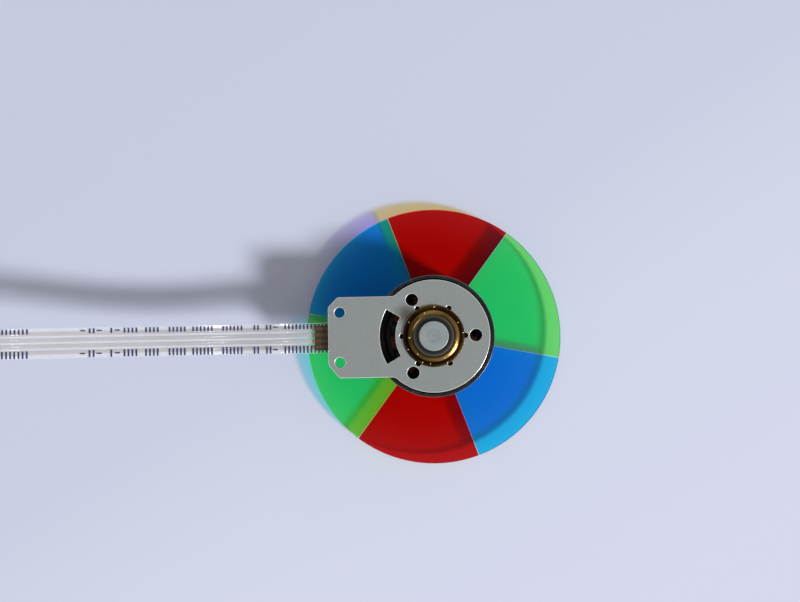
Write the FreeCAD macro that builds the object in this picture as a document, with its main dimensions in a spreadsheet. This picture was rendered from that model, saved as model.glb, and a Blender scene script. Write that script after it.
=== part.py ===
import FreeCAD, Part
import math
import os

import Sketcher

# A projector color wheel: six dichroic filters on the rotor of a small outer-rotor motor, whose
# stamped base plate carries the stator, the staked bearing housing and a flat flexible cable.
# It lies front down. The motor axis is Z, z is 0 at the front face and the tab points along -X.

SIZES = {
    # Filters
    "wheel_radius": 22.0,
    "glass_thickness": 0.7,
    "red_angle": 57.0,
    "blue_angle": 59.0,
    "green_angle": 64.0,
    "joint_angle": 0.3,
    "first_joint_angle": 52.9,
    # Clamp ring on the front of the filters, with its balance groove
    "clamp_setback": 0.2,
    "clamp_height": 1.3,
    "groove_rim_width": 1.4,
    "groove_width": 1.6,
    "groove_depth": 0.7,
    "putty_angle": 34.0,
    "putty_gap": 0.15,
    "putty_bevel": 0.12,
    # Hub that carries filters, clamp ring, rotor cup and shaft
    "spigot_radius": 5.0,
    "glass_clearance": 0.25,
    "spigot_recess": 0.4,
    "hub_flange_lip": 0.2,
    "hub_flange_height": 0.6,
    "hub_boss_radius": 2.0,
    "hub_boss_height": 0.9,
    # Rotor cup and ring magnet
    "yoke_wall": 0.6,
    "yoke_floor": 0.6,
    "yoke_overhang": 0.35,
    "yoke_corner": 0.4,
    "magnet_wall": 1.3,
    "magnet_height": 4.3,
    "magnet_lift": 0.4,
    # Shaft and its retaining washer
    "shaft_radius": 0.75,
    "shaft_front": 0.9,
    "shaft_end_play": 0.05,
    "washer_radius": 1.4,
    "washer_height": 0.2,
    "washer_gap": 0.25,
    # Base plate
    "plate_gap": 0.75,
    "plate_thickness": 0.8,
    "plate_rim_width": 1.3,
    "tab_reach": 17.1,
    "tab_width": 13.1,
    "tab_upper_chamfer": 1.6,
    "tab_lower_chamfer_x": 1.8,
    "tab_lower_chamfer_y": 2.15,
    "tab_corner_round": 0.6,
    "tab_root_round": 1.0,
    "screw_flange_gap": 0.15,
    "screw_thread_radius": 1.0,
    "tab_hole_inset": 1.9,
    "tab_hole_spacing": 8.1,
    "tab_hole_radius": 0.85,
    "slot_rim_width": 0.35,
    "slot_width": 2.55,
    "slot_angle": 60.4,
    "notch_radius": 0.42,
    "notch_offset": 0.13,
    # Bearing housing, staked into the plate
    "housing_wall": 1.09,
    "housing_shoulder": 0.7,
    "housing_flange_width": 0.7,
    "housing_flange_height": 0.45,
    "lip_width": 0.84,
    "lip_height": 0.75,
    "lip_crest_inset": 0.3,
    "lip_inner_drop": 0.15,
    "lip_outer_drop": 0.25,
    "ledge_width": 0.8,
    "ledge_height": 0.25,
    "stake_width": 0.5,
    "stake_depth": 0.3,
    # Thrust cap
    "cap_radius": 3.3,
    "cap_thickness": 0.95,
    "cap_rise": 0.2,
    "cap_disc_radius": 2.4,
    "cap_disc_bevel": 0.1,
    "cap_step": 0.3,
    "cap_rim_drop": 0.12,
    "thrust_pad_thickness": 0.3,
    # Sleeve bearing
    "bearing_radius": 2.4,
    "bearing_setback": 0.15,
    # Stator
    "core_radius": 7.65,
    "core_ring_width": 0.9,
    "core_height": 2.6,
    "air_gap": 0.44,
    "tooth_width": 1.3,
    "tip_thickness": 0.6,
    "tip_angle": 33.0,
    "tooth_angle": 189.0,
    "insulator_height": 0.3,
    "insulator_inset": 0.12,
    "coil_clearance": 0.3,
    "coil_build": 0.5,
    "coil_corner": 0.25,
    "lead_radius": 0.12,
    "lead_clearance": 0.08,
    # Flex circuit under the plate
    "flex_thickness": 0.15,
    "flex_inset": 0.4,
    "flex_margin": 0.25,
    "flex_window_extra_angle": 4.0,
    "flex_tail_width": 4.0,
    "flex_tail_reach": 2.3,
    # Flat cable
    "cable_width": 5.0,
    "cable_thickness": 0.3,
    "cable_grip": 5.6,
    "conductor_pitch": 1.0,
    "conductor_width": 0.7,
    "conductor_thickness": 0.1,
    "bare_length": 1.5,
    "cable_joint_length": 1.2,
    "solder_height": 0.05,
    "solder_radius": 0.42,
    "solder_dome": 0.25,
    "stiffener_length": 7.0,
    "stiffener_thickness": 0.2,
    "contact_length": 4.0,
    # Clearances
    "press_gap": 0.01,
    "running_gap": 0.02,
}

# Counts, which aren't lengths
TOOTH_COUNT = 9
NOTCH_COUNT = 6
SCREW_COUNT = 3
CONDUCTOR_COUNT = 4
SMALL_SIDES = 6
LEAD_TEETH = (2, 3, 5, 6)

# The cable's centre line as (x, z): out from under the tab, a low hump, then down to the table,
# where it lies on its stiffener.
CABLE_ROUTE = (
    (-11.5, 8.65),
    (-22.0, 8.60),
    (-34.0, 7.75),
    (-46.0, 8.30),
    (-58.0, 10.35),
    (-70.0, 12.60),
    (-81.0, 12.90),
    (-92.0, 10.60),
    (-103.0, 6.20),
    (-111.0, 2.30),
    (-119.5, 0.35),
    (-128.0, 0.35),
)
ARC_SHARE = 0.45

doc = FreeCAD.newDocument("color_wheel")
sheet = doc.addObject("Spreadsheet::Sheet", "Sizes")
for row, (alias, number) in enumerate(SIZES.items(), 1):
    sheet.set(f"A{row}", alias)
    sheet.set(f"B{row}", str(number))
    sheet.setAlias(f"B{row}", alias)
doc.recompute()


ZERO = "0.0"


class Size:
    """A number together with the expression that gives it from the sheet."""

    def __init__(self, number, text):
        self.number = number
        self.text = text

    def __add__(self, other):
        other = as_size(other)
        if self.text == ZERO:
            return other
        if other.text == ZERO:
            return self
        return Size(self.number + other.number, f"({self.text} + {other.text})")

    def __sub__(self, other):
        other = as_size(other)
        return Size(self.number - other.number, f"({self.text} - {other.text})")

    def __mul__(self, factor):
        factor = as_size(factor)
        if ZERO in (self.text, factor.text):
            return Size(0.0, ZERO)
        return Size(self.number * factor.number, f"({self.text} * {factor.text})")

    def __neg__(self):
        return Size(-self.number, f"(0 - {self.text})")


def as_size(value):
    """A Size as it is, or a plain number as a Size."""
    if isinstance(value, Size):
        return value
    return Size(float(value), str(float(value)))


def cell(alias):
    """The Size held by one cell of the sheet."""
    return Size(float(sheet.get(alias)), f"Sizes.{alias}")


def cosine(angle):
    """The cosine of an angle in degrees."""
    return Size(math.cos(math.radians(angle.number)), f"cos({angle.text})")


def sine(angle):
    """The sine of an angle in degrees."""
    return Size(math.sin(math.radians(angle.number)), f"sin({angle.text})")


# Heights of the wheel along the axis, from the front face up
glass_bottom = cell("clamp_height")
glass_top = glass_bottom + cell("glass_thickness")
hub_top = glass_top + cell("hub_flange_height")
boss_top = hub_top + cell("hub_boss_height")
washer_top = boss_top + cell("washer_height")
yoke_floor_top = hub_top + cell("yoke_floor")
magnet_bottom = yoke_floor_top + cell("magnet_lift")
magnet_top = magnet_bottom + cell("magnet_height")
yoke_rim = magnet_top + cell("yoke_overhang")

# Heights of the motor base; the core is level with the middle of the magnet
housing_front = washer_top + cell("washer_gap")
core_bottom = magnet_bottom + (cell("magnet_height") - cell("core_height")) * 0.5
core_top = core_bottom + cell("core_height")
insulator_bottom = core_bottom - cell("insulator_height")
insulator_top = core_top + cell("insulator_height")
coil_top = insulator_top + cell("press_gap") + cell("coil_build")
plate_bottom = yoke_rim + cell("plate_gap")
plate_top = plate_bottom + cell("plate_thickness")
lip_top = plate_top + cell("lip_height")
flex_bottom = plate_bottom - cell("flex_thickness")
flange_bottom = plate_bottom - cell("housing_flange_height")
ledge_top = plate_top + cell("ledge_height")
cap_top = lip_top + cell("cap_rise")
cap_bottom = cap_top - cell("cap_thickness")
pad_bottom = cap_bottom - cell("thrust_pad_thickness")
bearing_bottom = housing_front + cell("bearing_setback")
bearing_top = pad_bottom - cell("bearing_setback")
cable_top = flex_bottom - cell("solder_height")
conductor_top = cable_top - (cell("cable_thickness") - cell("conductor_thickness")) * 0.5

# Radii, from the bearing out to the rotor cup
housing_bore = cell("bearing_radius") + cell("press_gap")
tube_radius = housing_bore + cell("housing_wall")
neck_radius = tube_radius + cell("housing_shoulder")
cap_seat = cell("cap_radius") + cell("press_gap")
lip_radius = cap_seat + cell("lip_width")
head_radius = lip_radius + cell("ledge_width")
flange_radius = head_radius + cell("housing_flange_width")
core_bore = tube_radius + cell("press_gap")
core_ring = core_bore + cell("core_ring_width")
tip_inner = cell("core_radius") - cell("tip_thickness")
coil_inner = core_ring + cell("coil_clearance")
coil_outer = tip_inner - cell("coil_clearance")
magnet_bore = cell("core_radius") + cell("air_gap")
magnet_radius = magnet_bore + cell("magnet_wall")
yoke_bore = magnet_radius + cell("press_gap")
yoke_radius = yoke_bore + cell("yoke_wall")
hub_radius = yoke_radius + cell("hub_flange_lip")
clamp_radius = hub_radius - cell("clamp_setback")
groove_outer = clamp_radius - cell("groove_rim_width")
groove_inner = groove_outer - cell("groove_width")
glass_bore = cell("spigot_radius") + cell("glass_clearance")

# Places on the base plate, from the housing's flange outwards
screw_circle = flange_radius + cell("screw_flange_gap") + cell("screw_thread_radius")
plate_radius = screw_circle + cell("screw_thread_radius") + cell("plate_rim_width")
slot_outer = plate_radius - cell("slot_rim_width")
slot_inner = slot_outer - cell("slot_width")
tab_half = cell("tab_width") * 0.5
tab_hole_x = cell("tab_hole_inset") - cell("tab_reach")
cable_start = cell("cable_grip") - cell("tab_reach")
lead_circle = flange_radius + cell("solder_radius") + cell("lead_clearance")

parts = []


def new_body(label):
    """A body that is exported under its label."""
    body = doc.addObject("PartDesign::Body", label)
    body.Label = label
    parts.append(body)
    return body


def origin_item(body, role):
    """One plane or axis of a body's origin."""
    return next(item for item in body.Origin.OriginFeatures if item.Role == role)


def new_sketch(body, name, plane, height=None):
    """A sketch on one of the body's own planes, moved along its normal by a height."""
    sketch = body.newObject("Sketcher::SketchObject", name)
    sketch.AttachmentSupport = (origin_item(body, plane), [""])
    sketch.MapMode = "FlatFace"
    if height is not None:
        sketch.AttachmentOffset = FreeCAD.Placement(FreeCAD.Vector(0, 0, height.number), FreeCAD.Rotation())
        sketch.setExpression("AttachmentOffset.Base.z", height.text)
    return sketch


def pin(sketch, geometry, point, x, y, name):
    """Places a point of the sketch by its two coordinates."""
    for axis, kind, value in ((-2, "DistanceX", x), (-1, "DistanceY", y)):
        value = as_size(value)
        if value.text == ZERO:
            sketch.addConstraint(Sketcher.Constraint("PointOnObject", geometry, point, axis))
            continue
        index = sketch.addConstraint(
            Sketcher.Constraint(kind, -1, 1, geometry, point, value.number)
        )
        label = f"{name}_{kind[-1].lower()}"
        sketch.renameConstraint(index, label)
        sketch.setExpression(f"Constraints.{label}", value.text)


def add_polygon(sketch, corners, name="corner"):
    """A closed outline of straight lines through the corners."""
    corners = [(as_size(x), as_size(y)) for x, y in corners]
    first = sketch.GeometryCount
    count = len(corners)
    for index, (x, y) in enumerate(corners):
        next_x, next_y = corners[(index + 1) % count]
        start = FreeCAD.Vector(x.number, y.number, 0)
        end = FreeCAD.Vector(next_x.number, next_y.number, 0)
        sketch.addGeometry(Part.LineSegment(start, end))
    for index in range(count):
        following = first + (index + 1) % count
        sketch.addConstraint(Sketcher.Constraint("Coincident", first + index, 2, following, 1))
    for index, (x, y) in enumerate(corners):
        pin(sketch, first + index, 1, x, y, f"{name}{index}")


def add_circle(sketch, radius, x=0.0, y=0.0, name="circle"):
    """A circle placed by its centre and radius."""
    x = as_size(x)
    y = as_size(y)
    centre = FreeCAD.Vector(x.number, y.number, 0)
    shape = Part.Circle(centre, FreeCAD.Vector(0, 0, 1), radius.number)
    geometry = sketch.addGeometry(shape)
    if x.text == ZERO and y.text == ZERO:
        sketch.addConstraint(Sketcher.Constraint("Coincident", geometry, 3, -1, 1))
    else:
        pin(sketch, geometry, 3, x, y, name)
    index = sketch.addConstraint(Sketcher.Constraint("Radius", geometry, radius.number))
    sketch.renameConstraint(index, f"{name}_radius")
    sketch.setExpression(f"Constraints.{name}_radius", radius.text)


def bind(feature, field, size):
    """Sets one size of a feature from the sheet."""
    size = as_size(size)
    setattr(feature, field, size.number)
    feature.setExpression(field, size.text)


def revolve(body, name, corners, angle=None, symmetric=False):
    """A solid of revolution about Z from a profile of (radius, height) corners."""
    sketch = new_sketch(body, f"{name}_profile", "XZ_Plane")
    add_polygon(sketch, corners)
    feature = body.newObject("PartDesign::Revolution", name)
    feature.Profile = sketch
    feature.ReferenceAxis = (sketch, ["V_Axis"])
    feature.Midplane = symmetric
    bind(feature, "Angle", 360 if angle is None else angle)
    doc.recompute()
    return feature


def groove(body, name, corners, angle=None, symmetric=False):
    """A cut of revolution about Z from a profile of (radius, height) corners."""
    sketch = new_sketch(body, f"{name}_profile", "XZ_Plane")
    add_polygon(sketch, corners)
    feature = body.newObject("PartDesign::Groove", name)
    feature.Profile = sketch
    feature.ReferenceAxis = (sketch, ["V_Axis"])
    feature.Midplane = symmetric
    bind(feature, "Angle", 360 if angle is None else angle)
    return checked_cut(body, feature)


def pad(body, name, sketch, length):
    """A pad of the sketch along its normal."""
    feature = body.newObject("PartDesign::Pad", name)
    feature.Profile = sketch
    bind(feature, "Length", length)
    doc.recompute()
    return feature


def pocket(body, name, sketch, length):
    """A pocket of the sketch along its normal, upwards from the sketch."""
    feature = body.newObject("PartDesign::Pocket", name)
    feature.Profile = sketch
    feature.Reversed = True
    bind(feature, "Length", length)
    return checked_cut(body, feature)


def checked_cut(body, feature):
    """Recomputes a cut and makes sure that it took material away."""
    doc.recompute()
    before = feature.BaseFeature.Shape.Volume
    if feature.Shape.Volume > before - 1e-6:
        raise RuntimeError(f"{body.Label}: {feature.Name} cuts nothing")
    return feature


def polar(body, name, originals, count):
    """Repeats features evenly round Z."""
    pattern = body.newObject("PartDesign::PolarPattern", name)
    pattern.Originals = originals
    pattern.Axis = (origin_item(body, "Z_Axis"), [""])
    pattern.Angle = 360
    pattern.Occurrences = count
    body.Tip = pattern
    doc.recompute()
    return pattern


def edges_where(feature, test):
    """The names of a feature's edges that pass a test."""
    return [f"Edge{index}" for index, edge in enumerate(feature.Shape.Edges, 1) if test(edge)]


def round_edges(body, name, feature, test, radius):
    """Fillets the edges that pass a test."""
    fillet = body.newObject("PartDesign::Fillet", name)
    fillet.Base = (feature, edges_where(feature, test))
    bind(fillet, "Radius", radius)
    doc.recompute()
    return fillet


def bevel_edges(body, name, feature, test, size):
    """Chamfers the edges that pass a test."""
    chamfer = body.newObject("PartDesign::Chamfer", name)
    chamfer.Base = (feature, edges_where(feature, test))
    bind(chamfer, "Size", size)
    doc.recompute()
    return chamfer


def is_circle_at(edge, radius, height):
    """Whether an edge is a circle of this radius about Z at this height."""
    if not isinstance(edge.Curve, Part.Circle):
        return False
    level = abs(edge.Curve.Center.z - height.number) < 1e-4
    central = math.hypot(edge.Curve.Center.x, edge.Curve.Center.y) < 1e-4
    return level and central and abs(edge.Curve.Radius - radius.number) < 1e-4


def lies_at(edge, height):
    """Whether the whole edge lies at this height."""
    box = edge.BoundBox
    return abs(box.ZMin - height.number) < 1e-3 and abs(box.ZMax - height.number) < 1e-3


def is_upright(edge):
    """Whether an edge is straight and runs along Z."""
    first, last = edge.Vertexes[0].Point, edge.Vertexes[-1].Point
    return len(edge.Vertexes) == 2 and math.hypot(first.x - last.x, first.y - last.y) < 1e-6


def turn_body(body, angle):
    """Turns a finished body about Z."""
    body.Placement = FreeCAD.Placement(
        FreeCAD.Vector(0, 0, 0), FreeCAD.Rotation(FreeCAD.Vector(0, 0, 1), angle.number)
    )
    body.setExpression("Placement.Rotation.Angle", angle.text)


def conductor_offsets():
    """The conductors' places across the cable."""
    middle = (CONDUCTOR_COUNT - 1) / 2
    return [cell("conductor_pitch") * (index - middle) for index in range(CONDUCTOR_COUNT)]


def rectangle(left, right, low, high):
    """The corners of an upright rectangle."""
    return ((left, low), (right, low), (right, high), (left, high))


def bevelled_rectangle(half_width, low, high, bevel):
    """The corners of a rectangle centred across, with its four corners cut off."""
    inner = half_width - bevel
    return (
        (-inner, low),
        (inner, low),
        (half_width, low + bevel),
        (half_width, high - bevel),
        (inner, high),
        (-inner, high),
        (-half_width, high - bevel),
        (-half_width, low + bevel),
    )


def regular_polygon(radius, count, x=0.0, y=0.0):
    """The corners of a regular polygon round a point, its flats at the radius and one corner at +X."""
    corners = []
    for index in range(count):
        angle = 2 * math.pi * index / count
        across = round(math.cos(angle) / math.cos(math.pi / count), 9) + 0.0
        along = round(math.sin(angle) / math.cos(math.pi / count), 9) + 0.0
        corners.append((as_size(x) + radius * across, as_size(y) + radius * along))
    return corners


def make_filters():
    """The six filters, in two equal runs of red, blue and green."""
    start = cell("first_joint_angle")
    for number in (1, 2):
        for colour in ("red", "blue", "green"):
            body = new_body(f"filter_{colour}_{number}")
            sector = cell(f"{colour}_angle")
            corners = rectangle(glass_bore, cell("wheel_radius"), glass_bottom, glass_top)
            revolve(body, f"{body.Label}_glass", corners, sector - cell("joint_angle"))
            turn_body(body, start + cell("joint_angle") * 0.5)
            start = start + sector


def make_clamp_ring():
    """The ring that clamps the filters from the front, with a groove for balancing."""
    body = new_body("clamp_ring")
    bore = cell("spigot_radius") + cell("press_gap")
    revolve(body, "clamp_turned", rectangle(bore, clamp_radius, 0, glass_bottom))
    channel = rectangle(groove_inner, groove_outer, 0, cell("groove_depth"))
    groove(body, "balance_groove", channel)


def make_balance_putty():
    """A length of cured putty in the balance groove."""
    body = new_body("balance_putty")
    face = cell("putty_gap")
    inner = groove_inner + cell("putty_gap")
    outer = groove_outer - cell("putty_gap")
    corners = rectangle(inner, outer, face, cell("groove_depth"))
    bead = revolve(body, "putty_bead", corners, cell("putty_angle"))
    bevel_edges(body, "putty_soft", bead, lambda e: lies_at(e, face), cell("putty_bevel"))


def make_wheel_hub():
    """The turned hub: spigot to the front, flange behind the filters and boss in the rotor cup."""
    body = new_body("wheel_hub")
    bore = cell("shaft_radius") + cell("press_gap")
    spigot = cell("spigot_radius")
    boss = cell("hub_boss_radius")
    front = cell("spigot_recess")
    corners = (
        (bore, front),
        (spigot, front),
        (spigot, glass_top),
        (hub_radius, glass_top),
        (hub_radius, hub_top),
        (boss, hub_top),
        (boss, boss_top),
        (bore, boss_top),
    )
    revolve(body, "hub_turned", corners)


def make_rotor_yoke():
    """The steel cup of the rotor, open towards the base plate."""
    body = new_body("rotor_yoke")
    bore = cell("hub_boss_radius") + cell("press_gap")
    edge = yoke_radius
    corners = (
        (bore, hub_top),
        (edge, hub_top),
        (edge, yoke_rim),
        (yoke_bore, yoke_rim),
        (yoke_bore, yoke_floor_top),
        (bore, yoke_floor_top),
    )
    cup = revolve(body, "cup_drawn", corners)
    bevel_edges(
        body, "cup_corner", cup, lambda e: is_circle_at(e, edge, hub_top), cell("yoke_corner")
    )


def make_ring_magnet():
    """The bonded ring magnet inside the cup."""
    body = new_body("ring_magnet")
    corners = rectangle(magnet_bore, magnet_radius, magnet_bottom, magnet_top)
    revolve(body, "magnet_ring", corners)


def make_shaft():
    """The shaft, pressed into the hub, with its end against the thrust pad."""
    body = new_body("shaft")
    tip = pad_bottom - cell("shaft_end_play")
    revolve(body, "shaft_ground", rectangle(0, cell("shaft_radius"), cell("shaft_front"), tip))


def make_shaft_washer():
    """The washer on the shaft that keeps the rotor in and the oil back."""
    body = new_body("shaft_washer")
    bore = cell("shaft_radius") + cell("press_gap")
    corners = rectangle(bore, cell("washer_radius"), boss_top, boss_top + cell("washer_height"))
    revolve(body, "washer_ring", corners)


def make_base_plate():
    """The stamped steel plate: a disc with a tab, tapped holes, a winding slot and a notched bore."""
    body = new_body("base_plate")
    reach = cell("tab_reach")
    upper = cell("tab_upper_chamfer")
    lower_x = cell("tab_lower_chamfer_x")
    lower_y = cell("tab_lower_chamfer_y")
    disc_sketch = new_sketch(body, "disc_outline", "XY_Plane", plate_bottom)
    add_circle(disc_sketch, plate_radius)
    pad(body, "disc_blank", disc_sketch, cell("plate_thickness"))
    tab_sketch = new_sketch(body, "tab_outline", "XY_Plane", plate_bottom)
    corners = (
        (0, -tab_half),
        (0, tab_half),
        (upper - reach, tab_half),
        (-reach, tab_half - upper),
        (-reach, lower_y - tab_half),
        (lower_x - reach, -tab_half),
    )
    add_polygon(tab_sketch, corners)
    blank = pad(body, "tab_blank", tab_sketch, cell("plate_thickness"))
    root = round_edges(body, "tab_root", blank, is_tab_root, cell("tab_root_round"))
    round_edges(body, "tab_corners", root, is_tab_corner, cell("tab_corner_round"))

    bore_sketch = new_sketch(body, "bore_outline", "XY_Plane", plate_bottom)
    add_circle(bore_sketch, head_radius + cell("press_gap"))
    pocket(body, "housing_bore", bore_sketch, cell("plate_thickness"))
    notch_sketch = new_sketch(body, "notch_outline", "XY_Plane", plate_bottom)
    notch_centre = head_radius + cell("notch_offset")
    add_polygon(notch_sketch, regular_polygon(cell("notch_radius"), SMALL_SIDES, notch_centre))
    notch = pocket(body, "stake_notch", notch_sketch, cell("plate_thickness"))
    polar(body, "stake_notches", [notch], NOTCH_COUNT)

    slot = rectangle(-slot_outer, -slot_inner, plate_bottom, plate_top)
    groove(body, "winding_slot", slot, cell("slot_angle"), symmetric=True)

    screw_sketch = new_sketch(body, "screw_outline", "XY_Plane", plate_bottom)
    add_circle(screw_sketch, cell("screw_thread_radius"), screw_circle)
    screw = pocket(body, "screw_hole", screw_sketch, cell("plate_thickness"))
    polar(body, "screw_holes", [screw], SCREW_COUNT)

    hole_sketch = new_sketch(body, "tab_hole_outline", "XY_Plane", plate_bottom)
    half = cell("tab_hole_spacing") * 0.5
    add_circle(hole_sketch, cell("tab_hole_radius"), tab_hole_x, half, "upper")
    add_circle(hole_sketch, cell("tab_hole_radius"), tab_hole_x, -half, "lower")
    pocket(body, "tab_holes", hole_sketch, cell("plate_thickness"))


def is_tab_root(edge):
    """An upright edge where the tab meets the disc."""
    if not is_upright(edge):
        return False
    x, y = edge.Vertexes[0].Point.x, edge.Vertexes[0].Point.y
    on_disc = abs(math.hypot(x, y) - plate_radius.number) < 1e-3
    return on_disc and x < 0 and abs(abs(y) - tab_half.number) < 1e-3


def is_tab_corner(edge):
    """An upright edge at the chamfered end of the tab."""
    return is_upright(edge) and edge.Vertexes[0].Point.x < -plate_radius.number - 1


def make_bearing_housing():
    """The turned brass housing: stator seat, flange under the plate and a rim staked over it."""
    body = new_body("bearing_housing")
    corners = (
        (housing_bore, housing_front),
        (tube_radius, housing_front),
        (tube_radius, insulator_top),
        (neck_radius, insulator_top),
        (neck_radius, flange_bottom),
        (flange_radius, flange_bottom),
        (flange_radius, plate_bottom),
        (head_radius, plate_bottom),
        (head_radius, ledge_top),
        (lip_radius, ledge_top),
        (lip_radius, lip_top - cell("lip_outer_drop")),
        (cap_seat + cell("lip_crest_inset"), lip_top),
        (cap_seat, lip_top - cell("lip_inner_drop")),
        (cap_seat, cap_bottom),
        (housing_bore, cap_bottom),
    )
    revolve(body, "housing_turned", corners)
    stake_sketch = new_sketch(body, "stake_outline", "XY_Plane", plate_top)
    half = cell("stake_width") * 0.5
    point = head_radius - cell("stake_depth")
    mouth = head_radius + half
    add_polygon(stake_sketch, ((point, 0), (mouth, -half), (mouth, half)))
    stake = pocket(body, "stake_mark", stake_sketch, cell("ledge_height"))
    polar(body, "stake_marks", [stake], NOTCH_COUNT)


def make_thrust_cap():
    """The steel cap that closes the housing: a raised disc inside a slanted rim."""
    body = new_body("thrust_cap")
    edge = cell("cap_radius")
    disc = cell("cap_disc_radius")
    bevel = cell("cap_disc_bevel")
    rim = cap_top - cell("cap_step")
    corners = (
        (0, cap_bottom),
        (edge, cap_bottom),
        (edge, rim - cell("cap_rim_drop")),
        (disc, rim),
        (disc, cap_top - bevel),
        (disc - bevel, cap_top),
        (0, cap_top),
    )
    revolve(body, "cap_pressed", corners)


def make_thrust_pad():
    """The plastic pad that the shaft's end runs on."""
    body = new_body("thrust_pad")
    revolve(body, "pad_disc", rectangle(0, cell("bearing_radius"), pad_bottom, cap_bottom))


def make_sleeve_bearing():
    """The sintered sleeve bearing that the shaft turns in."""
    body = new_body("sleeve_bearing")
    bore = cell("shaft_radius") + cell("running_gap")
    corners = rectangle(bore, cell("bearing_radius"), bearing_bottom, bearing_top)
    revolve(body, "bearing_sleeve", corners)


def add_toothed_disc(body, name, bottom, height, inset, tips):
    """A toothed disc of the stator: a ring and its teeth, drawn in by an inset, with tips or without."""
    ring_sketch = new_sketch(body, f"{name}_ring_outline", "XY_Plane", bottom)
    add_polygon(ring_sketch, regular_polygon(core_ring, TOOTH_COUNT))
    pad(body, f"{name}_ring", ring_sketch, height)
    neck = cell("tooth_width") * 0.5 - inset
    tooth_sketch = new_sketch(body, f"{name}_tooth_outline", "XY_Plane", bottom)
    root = core_bore + cell("core_ring_width") * 0.5
    reach = tip_inner + cell("tip_thickness") * 0.5
    add_polygon(tooth_sketch, rectangle(root, reach, -neck, neck))
    repeated = [pad(body, f"{name}_tooth", tooth_sketch, height)]
    if tips:
        corners = rectangle(tip_inner, cell("core_radius"), bottom, bottom + height)
        tip = revolve(body, f"{name}_tip", corners, cell("tip_angle"), symmetric=True)
        repeated.append(tip)
    polar(body, f"{name}_teeth", repeated, TOOTH_COUNT)
    bore_sketch = new_sketch(body, f"{name}_bore_outline", "XY_Plane", bottom)
    add_circle(bore_sketch, core_bore)
    pocket(body, f"{name}_bore", bore_sketch, height)


def make_stator_core():
    """The laminated core with its nine teeth, which end in wide curved tips."""
    body = new_body("stator_core")
    add_toothed_disc(body, "core", core_bottom, cell("core_height"), as_size(0.0), tips=True)
    turn_body(body, cell("tooth_angle"))


def make_stator_insulators():
    """The plastic end pieces that keep the wire off the core, below and above it."""
    height = cell("insulator_height")
    for side, bottom in (("front", insulator_bottom), ("rear", core_top)):
        body = new_body(f"stator_insulator_{side}")
        add_toothed_disc(body, side, bottom, height, cell("insulator_inset"), tips=False)
        turn_body(body, cell("tooth_angle"))


def make_stator_coils():
    """One coil of wire round each tooth."""
    body = new_body("stator_coils")
    body.AllowCompound = True
    inner_half = cell("tooth_width") * 0.5 + cell("press_gap")
    build = cell("coil_build")
    outer_half = inner_half + build
    low = insulator_bottom - cell("press_gap")
    high = insulator_top + cell("press_gap")
    length = coil_outer - coil_inner
    sketch = new_sketch(body, "coil_outline", "YZ_Plane", coil_inner)
    wound = bevelled_rectangle(outer_half, low - build, high + build, cell("coil_corner"))
    add_polygon(sketch, wound, "outer")
    add_polygon(sketch, rectangle(-inner_half, inner_half, low, high), "inner")
    coil = pad(body, "coil_winding", sketch, length)
    polar(body, "coil_set", [coil], TOOTH_COUNT)
    turn_body(body, cell("tooth_angle"))


def lead_spots():
    """Where the coil leads rise to the flex circuit, as (x, y)."""
    spots = []
    for index in LEAD_TEETH:
        angle = cell("tooth_angle") + 360.0 / TOOTH_COUNT * index
        spots.append((lead_circle * cosine(angle), lead_circle * sine(angle)))
    return spots


def make_coil_leads():
    """The ends of the windings, which rise from four coils to the flex circuit."""
    body = new_body("coil_leads")
    body.AllowCompound = True
    sketch = new_sketch(body, "lead_outline", "XY_Plane", coil_top)
    for index, (x, y) in enumerate(lead_spots()):
        add_polygon(sketch, regular_polygon(cell("lead_radius"), SMALL_SIDES, x, y), f"lead{index}_")
    pad(body, "lead_wires", sketch, flex_bottom - coil_top)


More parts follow.
